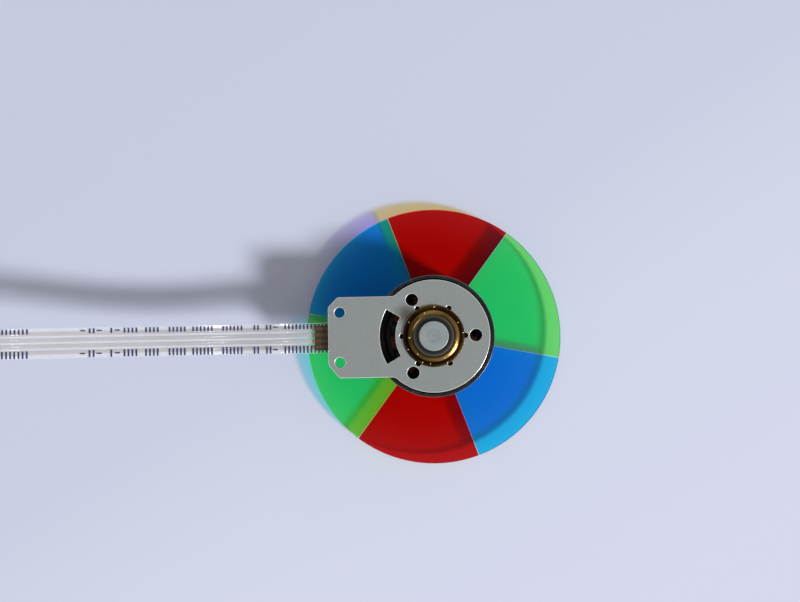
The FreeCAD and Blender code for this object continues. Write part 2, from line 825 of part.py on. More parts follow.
def make_flex_circuit():
    """The polyimide circuit under the plate, with a tail that meets the cable."""
    body = new_body("flex_circuit")
    inset = cell("flex_inset")
    margin = cell("flex_margin")
    thickness = cell("flex_thickness")
    reach = cell("tab_reach")
    disc_sketch = new_sketch(body, "flex_disc_outline", "XY_Plane", flex_bottom)
    add_circle(disc_sketch, plate_radius - inset)
    pad(body, "flex_disc", disc_sketch, thickness)
    tab_sketch = new_sketch(body, "flex_tab_outline", "XY_Plane", flex_bottom)
    half = tab_half - inset
    end = inset - reach
    cut = cell("tab_lower_chamfer_y")
    tail_half = cell("flex_tail_width") * 0.5
    tail_end = -reach - cell("flex_tail_reach")
    corners = (
        (0, -half),
        (0, half),
        (end + cut, half),
        (end, half - cut),
        (end, tail_half),
        (tail_end, tail_half),
        (tail_end, -tail_half),
        (end, -tail_half),
        (end, cut - half),
        (end + cut, -half),
    )
    add_polygon(tab_sketch, corners)
    pad(body, "flex_tab", tab_sketch, thickness)

    bore_sketch = new_sketch(body, "flex_bore_outline", "XY_Plane", flex_bottom)
    add_circle(bore_sketch, flange_radius + cell("press_gap"))
    pocket(body, "flex_bore", bore_sketch, thickness)
    outer = -slot_outer - margin
    window = rectangle(outer, margin - slot_inner, flex_bottom, plate_bottom)
    sweep = cell("slot_angle") + cell("flex_window_extra_angle")
    groove(body, "flex_window", window, sweep, symmetric=True)
    screw_sketch = new_sketch(body, "flex_screw_outline", "XY_Plane", flex_bottom)
    screw_radius = cell("screw_thread_radius") + margin
    add_polygon(screw_sketch, regular_polygon(screw_radius, SMALL_SIDES, screw_circle))
    screw = pocket(body, "flex_screw_hole", screw_sketch, thickness)
    polar(body, "flex_screw_holes", [screw], SCREW_COUNT)
    hole_sketch = new_sketch(body, "flex_hole_outline", "XY_Plane", flex_bottom)
    spacing = cell("tab_hole_spacing") * 0.5
    radius = cell("tab_hole_radius") + margin
    add_polygon(hole_sketch, regular_polygon(radius, SMALL_SIDES, tab_hole_x, spacing), "upper")
    add_polygon(hole_sketch, regular_polygon(radius, SMALL_SIDES, tab_hole_x, -spacing), "lower")
    pocket(body, "flex_tab_holes", hole_sketch, thickness)


def make_solder_joints():
    """The joints of the leads and of the cable's conductors, under the flex circuit."""
    body = new_body("solder_joints")
    body.AllowCompound = True
    dome = cell("solder_dome")
    sketch = new_sketch(body, "lead_joint_outline", "XY_Plane", flex_bottom - dome)
    for index, (x, y) in enumerate(lead_spots()):
        joint = regular_polygon(cell("solder_radius"), SMALL_SIDES, x, y)
        wire = regular_polygon(cell("lead_radius") + cell("press_gap"), SMALL_SIDES, x, y)
        add_polygon(sketch, joint, f"joint{index}_")
        add_polygon(sketch, wire, f"wire{index}_")
    pad(body, "lead_joints", sketch, dome)
    cable_sketch = new_sketch(body, "cable_joint_outline", "XY_Plane", conductor_top)
    half = cell("conductor_width") * 0.5
    start = cable_start + cell("bare_length")
    for index, offset in enumerate(conductor_offsets()):
        corners = rectangle(start - cell("cable_joint_length"), start, offset - half, offset + half)
        add_polygon(cable_sketch, corners, f"pad{index}_")
    pad(body, "cable_joints", cable_sketch, flex_bottom - conductor_top)


def make_bare_conductors():
    """The stripped ends of the conductors, where the cable is soldered to the flex circuit."""
    body = new_body("cable_bare_ends")
    body.AllowCompound = True
    thickness = cell("conductor_thickness")
    sketch = new_sketch(body, "bare_outline", "XY_Plane", conductor_top - thickness)
    half = cell("conductor_width") * 0.5
    start = cable_start
    for index, offset in enumerate(conductor_offsets()):
        corners = rectangle(start, start + cell("bare_length"), offset - half, offset + half)
        add_polygon(sketch, corners, f"strip{index}_")
    pad(body, "bare_strips", sketch, thickness)


def cable_path(points):
    """A wire of straight runs joined by tangent arcs, and the arcs' radii."""
    corners = [FreeCAD.Vector(x, 0, z) for x, z in points]
    edges = []
    radii = []
    start = corners[0]
    for before, corner, after in zip(corners, corners[1:], corners[2:]):
        first = corner - before
        second = after - corner
        turn = first.getAngle(second)
        cut = ARC_SHARE * min(first.Length, second.Length)
        radius = cut / math.tan(turn / 2)
        entry = corner - first.normalize() * cut
        leave = corner + second.normalize() * cut
        towards = (second - first).normalize()
        middle = corner + towards * (radius / math.cos(turn / 2) - radius)
        edges.append(Part.LineSegment(start, entry).toShape())
        edges.append(Part.Arc(entry, middle, leave).toShape())
        radii.append(radius)
        start = leave
    edges.append(Part.LineSegment(start, corners[-1]).toShape())
    return Part.Wire(edges), radii


def make_flat_cable():
    """The flat cable: one thin flat section along the route."""
    width = cell("cable_width").number
    thickness = cell("cable_thickness").number
    path, radii = cable_path(cable_points())
    x, z = path.Vertexes[0].Point.x, path.Vertexes[0].Point.z
    section = Part.makePolygon(
        [
            FreeCAD.Vector(x, -width / 2, z - thickness / 2),
            FreeCAD.Vector(x, width / 2, z - thickness / 2),
            FreeCAD.Vector(x, width / 2, z + thickness / 2),
            FreeCAD.Vector(x, -width / 2, z + thickness / 2),
            FreeCAD.Vector(x, -width / 2, z - thickness / 2),
        ]
    )
    solid = path.makePipeShell([section], True, False)
    print("cable radii", [round(radius, 1) for radius in radii])
    print("cable volume", round(solid.Volume, 3), "mm3 for a length of", round(path.Length, 2))
    print("section times length", round(width * thickness * path.Length, 3), "mm3")
    cable = doc.addObject("Part::Feature", "flat_cable")
    cable.Label = "flat_cable"
    cable.Shape = solid
    cable.Placement = FreeCAD.Placement()
    parts.append(cable)


def cable_points():
    """The route, with its two ends tied to the flex circuit and to the stiffener on the table."""
    half = cell("cable_thickness").number / 2
    start_height = cable_top.number - half
    end_height = cell("stiffener_thickness").number + half
    points = list(CABLE_ROUTE)
    points[0] = (cable_start.number, start_height)
    points[-2] = (points[-2][0], end_height)
    points[-1] = (points[-1][0], end_height)
    return points


def make_cable_end():
    """The stiffener at the free end, and the four bare contacts on it."""
    end = as_size(CABLE_ROUTE[-1][0])
    tip = end - cell("contact_length")
    start = tip + cell("stiffener_length")
    thickness = cell("stiffener_thickness")
    half_width = cell("cable_width") * 0.5
    conductor = cell("conductor_thickness")
    film = (cell("cable_thickness") - conductor) * 0.5
    body = new_body("cable_stiffener")
    sketch = new_sketch(body, "stiffener_outline", "XY_Plane")
    add_polygon(sketch, rectangle(tip, start, -half_width, half_width))
    pad(body, "stiffener_strip", sketch, thickness)
    film_sketch = new_sketch(body, "film_outline", "XY_Plane", thickness)
    add_polygon(film_sketch, rectangle(tip, end, -half_width, half_width))
    pad(body, "film_strip", film_sketch, film)

    contacts = new_body("cable_contacts")
    contacts.AllowCompound = True
    strip_sketch = new_sketch(contacts, "contact_outline", "XY_Plane", thickness + film)
    half = cell("conductor_width") * 0.5
    for index, offset in enumerate(conductor_offsets()):
        corners = rectangle(tip, end, offset - half, offset + half)
        add_polygon(strip_sketch, corners, f"contact{index}_")
    pad(contacts, "contact_strips", strip_sketch, conductor)


def check_and_write():
    """Stops if anything failed, then writes each piece to its own file."""
    doc.recompute()
    for item in doc.Objects:
        if any(state in ("Invalid", "Error") for state in item.State):
            raise RuntimeError(f"{item.Label} failed: {item.State}")
    for part in parts:
        shape = part.Shape
        if shape.isNull() or not shape.isValid() or not shape.Solids:
            raise RuntimeError(f"{part.Label} has no valid solid")
    os.makedirs("parts", exist_ok=True)
    for part in parts:
        part.Shape.exportStep(f"parts/{part.Label}.step")
        print(part.Label, len(part.Shape.Solids), "solids", round(part.Shape.Volume, 2), "mm3")


make_filters()
make_clamp_ring()
make_balance_putty()
make_wheel_hub()
make_rotor_yoke()
make_ring_magnet()
make_shaft()
make_shaft_washer()
make_base_plate()
make_bearing_housing()
make_thrust_cap()
make_thrust_pad()
make_sleeve_bearing()
make_stator_core()
make_stator_insulators()
make_stator_coils()
make_coil_leads()
make_flex_circuit()
make_solder_joints()
make_bare_conductors()
make_flat_cable()
make_cable_end()
check_and_write()
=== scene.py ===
import math

import bmesh
import bpy
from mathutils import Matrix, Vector


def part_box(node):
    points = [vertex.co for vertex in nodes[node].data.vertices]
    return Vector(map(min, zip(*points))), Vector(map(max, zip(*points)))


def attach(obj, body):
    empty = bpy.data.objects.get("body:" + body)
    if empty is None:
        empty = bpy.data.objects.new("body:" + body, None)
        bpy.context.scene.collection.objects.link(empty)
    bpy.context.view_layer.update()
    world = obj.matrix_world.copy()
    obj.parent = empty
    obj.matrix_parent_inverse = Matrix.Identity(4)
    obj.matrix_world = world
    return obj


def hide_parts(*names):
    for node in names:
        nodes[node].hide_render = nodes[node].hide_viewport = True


# The looks of a projector color wheel that lies front down, seen from its motor side. Everything
# is in metres, in the frame of the part: Z is the motor axis and the flat cable leaves along -X.

MM = 0.001

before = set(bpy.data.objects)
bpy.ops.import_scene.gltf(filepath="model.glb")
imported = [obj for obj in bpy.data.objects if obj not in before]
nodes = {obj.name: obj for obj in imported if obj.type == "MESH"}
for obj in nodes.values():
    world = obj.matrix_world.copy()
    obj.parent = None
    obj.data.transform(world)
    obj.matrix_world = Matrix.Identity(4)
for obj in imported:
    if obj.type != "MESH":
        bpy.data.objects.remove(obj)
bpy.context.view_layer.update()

# The cable's route as (x, z) in millimetres, from the flex circuit to the stiffener on the table
CABLE_ROUTE = (
    (-11.5, 8.65),
    (-22.0, 8.60),
    (-34.0, 7.75),
    (-46.0, 8.30),
    (-58.0, 10.35),
    (-70.0, 12.60),
    (-81.0, 12.90),
    (-92.0, 10.60),
    (-103.0, 6.20),
    (-111.0, 2.30),
    (-119.5, 0.35),
    (-128.0, 0.35),
)
CABLE_WIDTH = 5.0
CABLE_THICKNESS = 0.3
CONDUCTORS = (-1.5, -0.5, 0.5, 1.5)
CONDUCTOR_WIDTH = 0.66
CONDUCTOR_THICKNESS = 0.08


# Materials

# The middle of the painted shadow that the staked rim casts on the plate
RIM_SHADOW_PLACE = (-3.7 * MM, 4.2 * MM, 9.8 * MM)
# Past this radius in millimetres a filter's upright face is its ground rim and no joint
RIM_START = 21.7
# Half the pitch of the copper traces in the flex circuit
TRACE_HALF_PITCH = 0.5 * MM


def new_material(name):
    """A node material with its tree and its shader."""
    material = bpy.data.materials.new(name)
    material.use_nodes = True
    tree = material.node_tree
    shader = tree.nodes["Principled BSDF"]
    return material, tree, shader


def add(tree, kind, **values):
    """A node with its properties, or its inputs where the name is one."""
    node = tree.nodes.new(kind)
    for name, value in values.items():
        if hasattr(node, name):
            setattr(node, name, value)
        else:
            node.inputs[name].default_value = value
    return node


def join(tree, start, end):
    """Links an output to an input."""
    tree.links.new(start, end)


def place(tree):
    """The place in the part's own frame, in metres."""
    return add(tree, "ShaderNodeTexCoord").outputs["Object"]


def split(tree, vector):
    """The X, Y and Z of a vector."""
    node = add(tree, "ShaderNodeSeparateXYZ")
    join(tree, vector, node.inputs["Vector"])
    return node.outputs


def compute(tree, operation, first, second=None):
    """A math node on an output and, where it takes two, another output or a number."""
    node = add(tree, "ShaderNodeMath", operation=operation)
    join(tree, first, node.inputs[0])
    if isinstance(second, float):
        node.inputs[1].default_value = second
    elif second is not None:
        join(tree, second, node.inputs[1])
    return node.outputs["Value"]


def mix_shaders(tree, share, first, second):
    """A share of the second shader in the first; the share is an output or a number."""
    node = add(tree, "ShaderNodeMixShader")
    if isinstance(share, float):
        node.inputs["Fac"].default_value = share
    else:
        join(tree, share, node.inputs["Fac"])
    join(tree, first, node.inputs[1])
    join(tree, second, node.inputs[2])
    return node.outputs["Shader"]


def ramp(tree, source, *stops):
    """A colour ramp with its stops as (position, colour)."""
    node = add(tree, "ShaderNodeValToRGB")
    elements = node.color_ramp.elements
    while len(elements) < len(stops):
        elements.new(0.5)
    for element, (position, colour) in zip(elements, stops):
        element.position = position
        element.color = (*colour, 1.0)
    join(tree, source, node.inputs["Fac"])
    return node.outputs["Color"]


def noise(tree, scale, detail=4.0, stretch=None):
    """Noise in the part's frame, stretched where that is asked for."""
    texture = add(tree, "ShaderNodeTexNoise", Scale=scale, Detail=detail)
    source = place(tree)
    if stretch:
        mapping = add(tree, "ShaderNodeMapping")
        mapping.inputs["Scale"].default_value = stretch
        join(tree, source, mapping.inputs["Vector"])
        source = mapping.outputs["Vector"]
    join(tree, source, texture.inputs["Vector"])
    return texture.outputs["Fac"]


def polar(tree):
    """The distance from the motor axis in millimetres, and the angle round it in turns."""
    axes = split(tree, place(tree))
    flat = add(tree, "ShaderNodeCombineXYZ")
    join(tree, axes["X"], flat.inputs["X"])
    join(tree, axes["Y"], flat.inputs["Y"])
    length = add(tree, "ShaderNodeVectorMath", operation="LENGTH")
    join(tree, flat.outputs["Vector"], length.inputs[0])
    radius = compute(tree, "MULTIPLY", length.outputs["Value"], 1 / MM)
    angle = compute(tree, "ARCTAN2", axes["Y"], axes["X"])
    return radius, compute(tree, "MULTIPLY", angle, 1 / (2 * math.pi))


def times(tree, first, second):
    """One colour times another."""
    node = add(tree, "ShaderNodeMix", data_type="RGBA", blend_type="MULTIPLY")
    node.inputs["Factor"].default_value = 1.0
    join(tree, first, node.inputs[6])
    join(tree, second, node.inputs[7])
    return node.outputs[2]


def bands(tree, radius, furthest, *stops):
    """A colour ramp over the distance from the axis, with its stops in millimetres."""
    share = compute(tree, "MULTIPLY", radius, 1 / furthest)
    return ramp(tree, share, *[(distance / furthest, colour) for distance, colour in stops])


def rings(tree, pitch, distortion=1.0):
    """Turning marks round the motor axis, a pitch apart in millimetres."""
    # the texture multiplies the distance by 20 and has a ring for each full turn of its sine
    scale = 2 * math.pi / (20 * pitch * MM)
    wave = add(tree, "ShaderNodeTexWave", wave_type="RINGS", rings_direction="Z", Scale=scale)
    wave.inputs["Distortion"].default_value = distortion
    wave.inputs["Detail"].default_value = 2.0
    join(tree, place(tree), wave.inputs["Vector"])
    return wave.outputs["Fac"]


def bump(tree, shader, height, distance, strength=0.5):
    """Bump of a height in millimetres on a shader."""
    node = add(tree, "ShaderNodeBump", Strength=strength, Distance=distance * MM)
    join(tree, height, node.inputs["Height"])
    join(tree, node.outputs["Normal"], shader.inputs["Normal"])


def tint(tree, shader, field, dark, light, lightest=0.7):
    """The shader's colour, which follows a texture from dark to light."""
    join(tree, ramp(tree, field, (0.3, dark), (lightest, light)), shader.inputs["Base Color"])


def vary(tree, source, low, high):
    """A number that follows a texture between two values."""
    node = add(tree, "ShaderNodeMapRange")
    node.inputs["To Min"].default_value = low
    node.inputs["To Max"].default_value = high
    join(tree, source, node.inputs["Value"])
    return node.outputs["Result"]


def metal(name, dark, light, rough, marks=None, grain=900.0, height=0.004):
    """A metal whose colour and gloss vary with its grain, with turning marks where it is turned."""
    material, tree, shader = new_material(name)
    shader.inputs["Metallic"].default_value = 1.0
    field = noise(tree, grain, 5.0)
    tint(tree, shader, field, dark, light)
    join(tree, vary(tree, field, rough * 0.8, rough * 1.2), shader.inputs["Roughness"])
    bump(tree, shader, rings(tree, marks) if marks else field, height)
    return material


def plastic(name, dark, light, rough, grain=1500.0, height=0.006, gloss=0.5):
    """A moulded plastic or resin with a fine grain."""
    material, tree, shader = new_material(name)
    field = noise(tree, grain, 6.0)
    tint(tree, shader, field, dark, light)
    join(tree, vary(tree, field, rough * 0.85, rough * 1.15), shader.inputs["Roughness"])
    shader.inputs["Specular IOR Level"].default_value = gloss
    bump(tree, shader, field, height)
    return material


def add_gloss(tree, facing, below, rough, least, colour=(1.0, 1.0, 1.0)):
    """A shader under a gloss that grows from its least share as the surface turns away."""
    gloss = add(tree, "ShaderNodeBsdfGlossy", Roughness=rough, Color=(*colour, 1.0))
    share = vary(tree, compute(tree, "POWER", facing, 5.0), least, 1.0)
    return mix_shaders(tree, share, below, gloss.outputs["BSDF"])


def filter_glass(name, straight, slanted, edge, mirrored):
    """Dichroic glass, which passes one colour straight and another slanted; its rim is dull."""
    material, tree, shader = new_material(name)
    tree.nodes.remove(shader)
    output = tree.nodes["Material Output"]
    facing = add(tree, "ShaderNodeLayerWeight", Blend=0.5).outputs["Facing"]
    # light goes through two faces, so each face takes the root of the whole share
    root_straight = [share ** 0.5 for share in straight]
    root_slanted = [share ** 0.5 for share in slanted]
    passed = ramp(tree, facing, (0.02, root_straight), (0.32, root_slanted))
    clear = add(tree, "ShaderNodeBsdfTransparent")
    join(tree, passed, clear.inputs["Color"])
    face = add_gloss(tree, facing, clear.outputs["BSDF"], 0.03, 0.03, mirrored)
    # the edges, whose normals lie flat: the rim is ground dull, and the joints stay clear
    geometry = add(tree, "ShaderNodeNewGeometry")
    radius, _ = polar(tree)
    scatter = add(tree, "ShaderNodeBsdfDiffuse", Color=(*edge, 1.0))
    through = add(tree, "ShaderNodeBsdfTransparent", Color=(0.92, 0.93, 0.92, 1.0))
    clearness = add(tree, "ShaderNodeMix", data_type="FLOAT")
    join(tree, compute(tree, "GREATER_THAN", radius, RIM_START), clearness.inputs[0])
    clearness.inputs[2].default_value = 0.92
    join(tree, vary(tree, geometry.outputs["Backfacing"], 0.85, 0.4), clearness.inputs[3])
    ground = mix_shaders(
        tree, clearness.outputs[0], scatter.outputs["BSDF"], through.outputs["BSDF"]
    )
    normal = split(tree, geometry.outputs["True Normal"])
    flat = compute(tree, "GREATER_THAN", compute(tree, "ABSOLUTE", normal["Z"]), 0.5)
    join(tree, mix_shaders(tree, flat, ground, face), output.inputs["Surface"])
    return material


def cable_film():
    """Milky film that lets much light through, with a gloss of its own."""
    material, tree, shader = new_material("cable_film")
    field = noise(tree, 500.0, 3.0, (0.15, 1.0, 1.0))
    tint(tree, shader, field, (0.76, 0.75, 0.78), (0.84, 0.83, 0.86))
    shader.inputs["Roughness"].default_value = 0.6
    shader.inputs["Specular IOR Level"].default_value = 0.0
    clear = add(tree, "ShaderNodeBsdfTransparent")
    milky = mix_shaders(tree, 0.21, clear.outputs["BSDF"], shader.outputs["BSDF"])
    facing = add(tree, "ShaderNodeLayerWeight", Blend=0.5).outputs["Facing"]
    whole = add_gloss(tree, facing, milky, 0.11, 0.04)
    join(tree, whole, tree.nodes["Material Output"].inputs["Surface"])
    return material


def covered_strip():
    """Tinned strip with the milky glue of the film on it."""
    material, tree, shader = new_material("covered_strip")
    shader.inputs["Metallic"].default_value = 0.3
    field = noise(tree, 900.0, 3.0, (0.1, 1.0, 1.0))
    tint(tree, shader, field, (0.45, 0.445, 0.465), (0.52, 0.515, 0.535))
    shader.inputs["Roughness"].default_value = 0.45
    return material


def flex_film():
    """Amber film with copper traces that run along it."""
    material, tree, shader = new_material("flex_film")
    step = compute(tree, "PINGPONG", split(tree, place(tree))["Y"], TRACE_HALF_PITCH)
    across = compute(tree, "MULTIPLY", step, 1 / TRACE_HALF_PITCH)
    stripes = ramp(tree, across, (0.45, (0.030, 0.022, 0.010)), (0.6, (0.085, 0.045, 0.014)))
    join(tree, stripes, shader.inputs["Base Color"])
    shader.inputs["Roughness"].default_value = 0.3
    bump(tree, shader, across, 0.01, 0.3)
    return material


def plated_steel():
    """Satin plated steel, with a brown-grey shadow of the staked rim painted beside it."""
    material, tree, shader = new_material("plated_steel")
    shader.inputs["Metallic"].default_value = 0.4
    field = noise(tree, 2500.0, 5.0)
    steel = ramp(tree, field, (0.3, (0.286, 0.313, 0.311)), (0.7, (0.315, 0.342, 0.340)))
    # painted shadow: the steel darkens to brown-grey round a point beside the rim, where its shadow
    # falls, with a wobbling edge
    wobble = add(tree, "ShaderNodeTexNoise", Scale=700.0, Detail=2.0)
    join(tree, place(tree), wobble.inputs["Vector"])
    shifted = add(tree, "ShaderNodeVectorMath", operation="MULTIPLY_ADD")
    join(tree, wobble.outputs["Color"], shifted.inputs[0])
    shifted.inputs[1].default_value = (1.2 * MM, 1.2 * MM, 0.0)
    join(tree, place(tree), shifted.inputs[2])
    away = add(tree, "ShaderNodeVectorMath", operation="DISTANCE")
    join(tree, shifted.outputs["Vector"], away.inputs[0])
    away.inputs[1].default_value = RIM_SHADOW_PLACE
    film = add(tree, "ShaderNodeMapRange", interpolation_type="SMOOTHSTEP")
    film.inputs["From Min"].default_value = 0.2 * MM
    film.inputs["From Max"].default_value = 2.5 * MM
    film.inputs["To Min"].default_value = 0.85
    film.inputs["To Max"].default_value = 0.0
    join(tree, away.outputs["Value"], film.inputs["Value"])
    shadowed_steel = add(tree, "ShaderNodeMix", data_type="RGBA")
    join(tree, film.outputs["Result"], shadowed_steel.inputs["Factor"])
    join(tree, steel, shadowed_steel.inputs[6])
    shadowed_steel.inputs[7].default_value = (0.070, 0.062, 0.050, 1.0)
    join(tree, shadowed_steel.outputs[2], shader.inputs["Base Color"])
    join(tree, vary(tree, field, 0.44, 0.56), shader.inputs["Roughness"])
    bump(tree, shader, field, 0.002)
    return material


def staked_brass():
    """Turned brass with painted reflection and shade: a golden crest and a brown ledge, and light
    and shade painted to change round the rim.
    """
    material, tree, shader = new_material("staked_brass")
    shader.inputs["Metallic"].default_value = 1.0
    radius, turn = polar(tree)
    # colour by radius, with painted reflection and shade in it: a light crest, a painted-dark inner
    # slope, a dark ledge and a lighter outer edge
    colour = bands(
        tree,
        radius,
        6.0,
        (3.2, (0.14, 0.085, 0.035)),
        (3.5, (0.34, 0.22, 0.085)),
        (3.7, (0.84, 0.58, 0.21)),
        (4.0, (0.66, 0.42, 0.14)),
        (4.2, (0.09, 0.05, 0.02)),
        (4.6, (0.18, 0.10, 0.04)),
        (4.85, (0.55, 0.35, 0.13)),
        (5.05, (0.07, 0.045, 0.025)),
    )
    # smears that run round the rim
    unrolled = add(tree, "ShaderNodeCombineXYZ")
    join(tree, compute(tree, "MULTIPLY", radius, 9.0), unrolled.inputs["X"])
    join(tree, compute(tree, "MULTIPLY", turn, 9.0), unrolled.inputs["Y"])
    smear = add(tree, "ShaderNodeTexNoise", Scale=1.0, Detail=3.0)
    join(tree, unrolled.outputs["Vector"], smear.inputs["Vector"])
    shade = ramp(tree, smear.outputs["Fac"], (0.35, (0.45, 0.41, 0.38)), (0.65, (1.0, 1.0, 1.0)))
    # painted light and shade round the rim: brightest towards the window at the lower right, with a
    # yellowish painted highlight at the top and the darkest side on the left
    painted_light_round_rim = ramp(
        tree,
        compute(tree, "ADD", turn, 0.5),
        (0.0, (0.28, 0.25, 0.22)),
        (0.18, (0.40, 0.36, 0.32)),
        (0.32, (0.75, 0.72, 0.68)),
        (0.42, (1.0, 1.0, 1.0)),
        (0.52, (0.60, 0.56, 0.50)),
        (0.68, (0.50, 0.45, 0.38)),
        (0.75, (1.0, 1.0, 0.75)),
        (0.80, (1.0, 1.0, 0.75)),
        (0.87, (0.38, 0.33, 0.28)),
        (1.0, (0.28, 0.25, 0.22)),
    )
    shade = times(tree, shade, painted_light_round_rim)
    join(tree, times(tree, colour, shade), shader.inputs["Base Color"])
    join(tree, vary(tree, smear.outputs["Fac"], 0.16, 0.32), shader.inputs["Roughness"])
    bump(tree, shader, rings(tree, 0.13), 0.006, 0.4)
    return material


def lapped_cap():
    """The thrust cap: a pale lapped disc with fine marks, and a dark slanted rim that has painted
    shade darkest next to the disc.
    """
    material, tree, shader = new_material("lapped_cap")
    shader.inputs["Metallic"].default_value = 0.4
    radius, _ = polar(tree)
    # painted shade: the rim is darkest right beside the disc, as in the shadow of the disc's step,
    # and lighter outwards
    colour = bands(
        tree,
        radius,
        4.0,
        (0.0, (0.26, 0.30, 0.33)),
        (0.12, (0.28, 0.32, 0.35)),
        (0.20, (0.35, 0.39, 0.41)),
        (1.1, (0.32, 0.36, 0.38)),
        (1.25, (0.37, 0.41, 0.43)),
        (2.36, (0.36, 0.40, 0.42)),
        (2.42, (0.010, 0.011, 0.010)),
        (2.7, (0.014, 0.015, 0.012)),
        (2.95, (0.032, 0.032, 0.026)),
        (3.2, (0.11, 0.11, 0.09)),
    )
    field = noise(tree, 700.0, 4.0)
    shade = ramp(tree, field, (0.3, (0.86, 0.86, 0.86)), (0.7, (1.0, 1.0, 1.0)))
    join(tree, times(tree, colour, shade), shader.inputs["Base Color"])
    join(tree, vary(tree, field, 0.32, 0.44), shader.inputs["Roughness"])
    bump(tree, shader, rings(tree, 0.3, 2.5), 0.008, 0.6)
    return material


def wound_wire():
    """Enamelled copper wire, dark red."""
    material, tree, shader = new_material("wound_wire")
    shader.inputs["Metallic"].default_value = 0.7
    field = noise(tree, 1200.0, 3.0)
    tint(tree, shader, field, (0.10, 0.026, 0.020), (0.20, 0.052, 0.038))
    shader.inputs["Roughness"].default_value = 0.35
    bump(tree, shader, field, 0.004, 0.4)
    return material


def print_ink():
    """Dark blue ink, a little worn."""
    material, tree, shader = new_material("print_ink")
    field = noise(tree, 6000.0, 2.0)
    tint(tree, shader, field, (0.010, 0.016, 0.060), (0.045, 0.060, 0.150), lightest=0.75)
    shader.inputs["Roughness"].default_value = 0.5
    return material


# What each filter passes straight and slanted, the colour of its edge and of its gloss
RED = filter_glass(
    "red_filter", (0.70, 0.003, 0.005), (1.0, 0.62, 0.02), (0.72, 0.60, 0.60), (0.6, 0.9, 1.0)
)
GREEN = filter_glass(
    "green_filter", (0.26, 1.0, 0.21), (0.10, 0.91, 0.96), (0.62, 0.74, 0.66), (0.6, 0.7, 0.8)
)
BLUE = filter_glass(
    "blue_filter", (0.016, 0.68, 1.0), (0.44, 0.30, 0.88), (0.62, 0.68, 0.78), (1.0, 0.8, 0.5)
)
BLACK = ((0.006, 0.006, 0.006), (0.016, 0.016, 0.016))
TINNED = metal("tinned_copper", (0.50, 0.50, 0.51), (0.66, 0.66, 0.67), 0.35, grain=1500.0)

MATERIALS = {
    "base_plate": plated_steel(),
    "bearing_housing": staked_brass(),
    "thrust_cap": lapped_cap(),
    "rotor_yoke": metal("dark_plated_cup", (0.08, 0.085, 0.085), (0.13, 0.135, 0.135), 0.26),
    "wheel_hub": metal(
        "turned_aluminium", (0.66, 0.67, 0.69), (0.80, 0.81, 0.83), 0.28, marks=0.09
    ),
    "clamp_ring": metal(
        "clamp_aluminium", (0.64, 0.65, 0.67), (0.78, 0.79, 0.81), 0.26, marks=0.11
    ),
    "shaft": metal("ground_shaft", (0.62, 0.63, 0.65), (0.74, 0.75, 0.77), 0.15, marks=0.08),
    "stator_core": metal("core_steel", (0.015, 0.015, 0.015), (0.035, 0.03, 0.028), 0.5),
    "sleeve_bearing": metal("sintered_bronze", (0.30, 0.20, 0.10), (0.46, 0.32, 0.17), 0.5),
    "solder_joints": metal("solder", (0.52, 0.53, 0.54), (0.72, 0.73, 0.74), 0.25, height=0.02),
    "coil_leads": wound_wire(),
    "stator_coils": wound_wire(),
    "ring_magnet": plastic(
        "bonded_magnet", (0.004, 0.004, 0.005), (0.010, 0.010, 0.011), 0.6, gloss=0.15
    ),
    "stator_insulator_front": plastic("black_resin", *BLACK, 0.5, gloss=0.2),
    "stator_insulator_rear": plastic("black_nylon", *BLACK, 0.5, gloss=0.2),
    "thrust_pad": plastic("pad_plastic", (0.62, 0.58, 0.48), (0.72, 0.68, 0.58), 0.45),
    "shaft_washer": plastic("washer_plastic", (0.72, 0.72, 0.68), (0.82, 0.82, 0.78), 0.4),
    "balance_putty": plastic(
        "balance_putty", (0.62, 0.62, 0.56), (0.78, 0.78, 0.72), 0.6, grain=900.0, height=0.03
    ),
    "cable_stiffener": plastic("blue_stiffener", (0.03, 0.12, 0.42), (0.05, 0.17, 0.52), 0.3),
    "flex_circuit": flex_film(),
    "cable_bare_ends": TINNED,
    "cable_contacts": TINNED,
}
for colour, glass in (("red", RED), ("green", GREEN), ("blue", BLUE)):
    for number in (1, 2):
        MATERIALS[f"filter_{colour}_{number}"] = glass
for name, material in MATERIALS.items():
    nodes[name].data.materials.clear()
    nodes[name].data.materials.append(material)

# Broken edges on the pieces that show, as (node, width in millimetres, the worn metal on them,
# painted lighter as a highlight along the edge)
# worn edge metal painted near white on the plate and lighter on the cup: partly wear, partly
# painted highlight
WORN_STEEL_HIGHLIGHT = metal("worn_steel_highlight", (0.90, 0.91, 0.90), (0.97, 0.98, 0.97), 0.30)
WORN_STEEL_HIGHLIGHT.node_tree.nodes["Principled BSDF"].inputs["Metallic"].default_value = 0.85
WORN_CUP_HIGHLIGHT = metal("worn_cup_highlight", (0.15, 0.155, 0.16), (0.21, 0.215, 0.22), 0.2)
for name, width, worn_highlight in (
    ("base_plate", 0.10, WORN_STEEL_HIGHLIGHT),
    ("bearing_housing", 0.06, None),
    ("thrust_cap", 0.05, None),
    ("rotor_yoke", 0.10, WORN_CUP_HIGHLIGHT),
    ("wheel_hub", 0.05, None),
    ("clamp_ring", 0.12, None),
):
    # the frame's faces don't share their points, so they are joined before the bevel
    weld = nodes[name].modifiers.new("joined_faces", "WELD")
    weld.merge_threshold = 1e-6
    bevel = nodes[name].modifiers.new("broken_edges", "BEVEL")
    bevel.width = width * MM
    bevel.segments = 3
    bevel.limit_method = "ANGLE"
    bevel.angle_limit = math.radians(35)
    bevel.use_clamp_overlap = False
    bevel.loop_slide = False
    bevel.harden_normals = True
    if worn_highlight:
        nodes[name].data.materials.append(worn_highlight)
        bevel.material = 1


# Motor details


